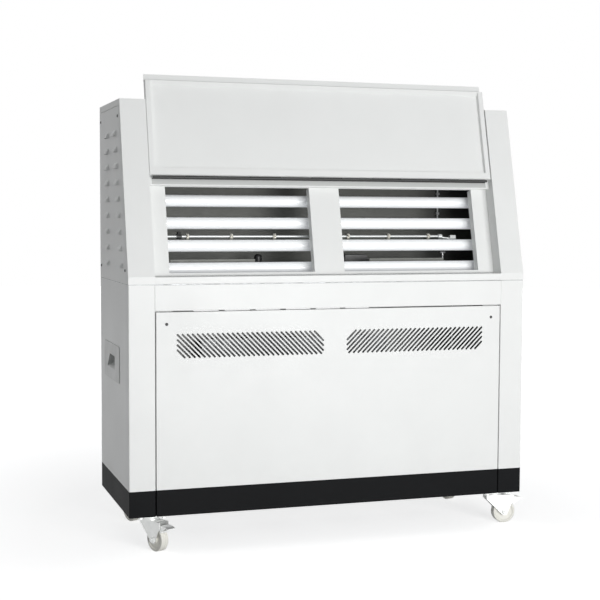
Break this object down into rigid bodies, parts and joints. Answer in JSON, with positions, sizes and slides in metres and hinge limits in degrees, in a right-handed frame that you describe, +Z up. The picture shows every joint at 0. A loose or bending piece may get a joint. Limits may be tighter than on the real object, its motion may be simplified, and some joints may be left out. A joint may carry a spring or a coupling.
{
  "type": "environmental test chamber",
  "caption": "Floor-standing lamp and condensation weathering chamber with a sloped front, specimen windows, a flip-back lid, a slotted service panel and casters.",
  "frame": {"origin": "on the floor under the middle of the cabinet", "axes": "+X to the right seen from the front, +Y from the sloped front to the back, +Z up"},
  "size_m": [1.3351, 0.5866, 1.4458],
  "materials": {
    "white_paint": "satin off-white powder coat",
    "black_paint": "fine-textured black powder coat",
    "zinc_sheet": "zinc-coated sheet",
    "zinc_plate": "bright zinc plate",
    "stainless": "stainless sheet",
    "lamp_glass": "phosphor-coated glass tube",
    "cap_metal": "lamp end cap",
    "white_plastic": "off-white nylon",
    "grey_plastic": "moulded grip",
    "tank_plastic": "moulded tank",
    "black_plastic": "moulded black plastic",
    "nozzle_brass": "nickel-toned brass",
    "stub_brass": "turned brass",
    "ballast_paint": "enamelled case",
    "pump_paint": "enamelled motor",
    "yellow_plastic": "moulded collar",
    "red_plastic": "moulded push head"
  },
  "bodies": {
    "cabinet": {"base_frame": "black_paint", "floor_pan": "zinc_sheet", "kick_surround": "black_paint", "kick_front": "black_paint", "front_post_left": "white_paint", "front_post_right": "white_paint", "front_rail": "white_paint", "front_panel": "white_paint", "screws": "zinc_plate", "side_panel_left": "white_paint", "side_panel_right": "white_paint", "grip_cups": "grey_plastic", "rear_panel_lower": "white_paint", "rear_panel_upper": "white_paint", "cable_gland": "black_plastic", "water_stubs": "stub_brass", "deck": "zinc_sheet", "column_left": "white_paint", "column_right": "white_paint", "front_sill": "white_paint", "window_frame": "white_paint", "upper_front_panel": "white_paint", "top_cover": "white_paint", "side_cover_left": "white_paint", "side_cover_right": "white_paint", "hinge_leaf_fixed": "stainless", "hinge_pin": "stainless", "level_float": "black_plastic", "junction_box": "black_plastic", "overflow_pipe": "stainless", "temperature_probe": "stainless", "chamber_liner": "stainless", "lamp_tubes": "lamp_glass", "lamp_caps": "cap_metal", "lamp_sockets": "white_plastic", "socket_rails": "zinc_sheet", "water_pan": "stainless", "heater": "stainless", "spray_pipe": "stainless", "spray_nozzles": "nozzle_brass", "equipment_plate": "zinc_sheet", "ballasts": "ballast_paint", "water_tank": "tank_plastic", "pump": "pump_paint", "control_panel": "white_paint", "touch_screen": "black_plastic", "switch_bezel": "black_plastic", "stop_collar": "yellow_plastic", "caster_plates": "zinc_plate"},
    "lid": {"lid_skin": "white_paint", "lid_liner": "white_paint", "hinge_leaf_lid": "stainless"},
    "rocker": {"rocker": "black_plastic"},
    "stop_button": {"stop_button": "red_plastic"},
    "fork_front_left": {"fork_front_left": "zinc_plate"},
    "wheel_front_left": {"wheel_front_left": "white_plastic"},
    "pedal_front_left": {"pedal_front_left": "zinc_plate"},
    "fork_front_right": {"fork_front_right": "zinc_plate"},
    "wheel_front_right": {"wheel_front_right": "white_plastic"},
    "pedal_front_right": {"pedal_front_right": "zinc_plate"},
    "fork_rear_left": {"fork_rear_left": "zinc_plate"},
    "wheel_rear_left": {"wheel_rear_left": "white_plastic"},
    "fork_rear_right": {"fork_rear_right": "zinc_plate"},
    "wheel_rear_right": {"wheel_rear_right": "white_plastic"}
  },
  "joints": [
    {"name": "lid_hinge", "type": "hinge", "parent": "cabinet", "child": "lid", "pos_m": [0, -0.16071, 1.12925], "axis": [1, 0, 0], "range_deg": [0, 179.2]},
    {"name": "power_rocker", "type": "hinge", "parent": "cabinet", "child": "rocker", "pos_m": [0.656, -0.035, 1.068], "axis": [0, 1, 0], "range_deg": [-14, 0]},
    {"name": "stop_push", "type": "slide", "parent": "cabinet", "child": "stop_button", "axis": [-1, 0, 0], "range_m": [0, 0.004], "stiffness_N_per_m": 800},
    {"name": "swivel_front_left", "type": "hinge", "parent": "cabinet", "child": "fork_front_left", "pos_m": [-0.576, -0.202, 0.098], "axis": [0, 0, 1], "continuous": true},
    {"name": "roll_front_left", "type": "hinge", "parent": "fork_front_left", "child": "wheel_front_left", "pos_m": [-0.56066, -0.23346, 0.0375], "axis": [0.8988, 0.4384, 0], "continuous": true},
    {"name": "brake_front_left", "type": "hinge", "parent": "fork_front_left", "child": "pedal_front_left", "pos_m": [-0.5497, -0.25593, 0.08], "axis": [0.8988, 0.4384, 0], "range_deg": [0, 7]},
    {"name": "swivel_front_right", "type": "hinge", "parent": "cabinet", "child": "fork_front_right", "pos_m": [0.576, -0.202, 0.098], "axis": [0, 0, 1], "continuous": true},
    {"name": "roll_front_right", "type": "hinge", "parent": "fork_front_right", "child": "wheel_front_right", "pos_m": [0.61081, -0.20566, 0.0375], "axis": [0.1045, 0.9945, 0], "continuous": true},
    {"name": "brake_front_right", "type": "hinge", "parent": "fork_front_right", "child": "pedal_front_right", "pos_m": [0.63567, -0.20827, 0.08], "axis": [0.1045, 0.9945, 0], "range_deg": [0, 7]},
    {"name": "swivel_rear_left", "type": "hinge", "parent": "cabinet", "child": "fork_rear_left", "pos_m": [-0.576, 0.202, 0.098], "axis": [0, 0, 1], "continuous": true},
    {"name": "roll_rear_left", "type": "hinge", "parent": "fork_rear_left", "child": "wheel_rear_left", "pos_m": [-0.56121, 0.17028, 0.0375], "axis": [0.9063, 0.4226, 0], "continuous": true},
    {"name": "swivel_rear_right", "type": "hinge", "parent": "cabinet", "child": "fork_rear_right", "pos_m": [0.576, 0.202, 0.098], "axis": [0, 0, 1], "continuous": true},
    {"name": "roll_rear_right", "type": "hinge", "parent": "fork_rear_right", "child": "wheel_rear_right", "pos_m": [0.58208, 0.16753, 0.0375], "axis": [0.9848, 0.1736, 0], "continuous": true}
  ]
}
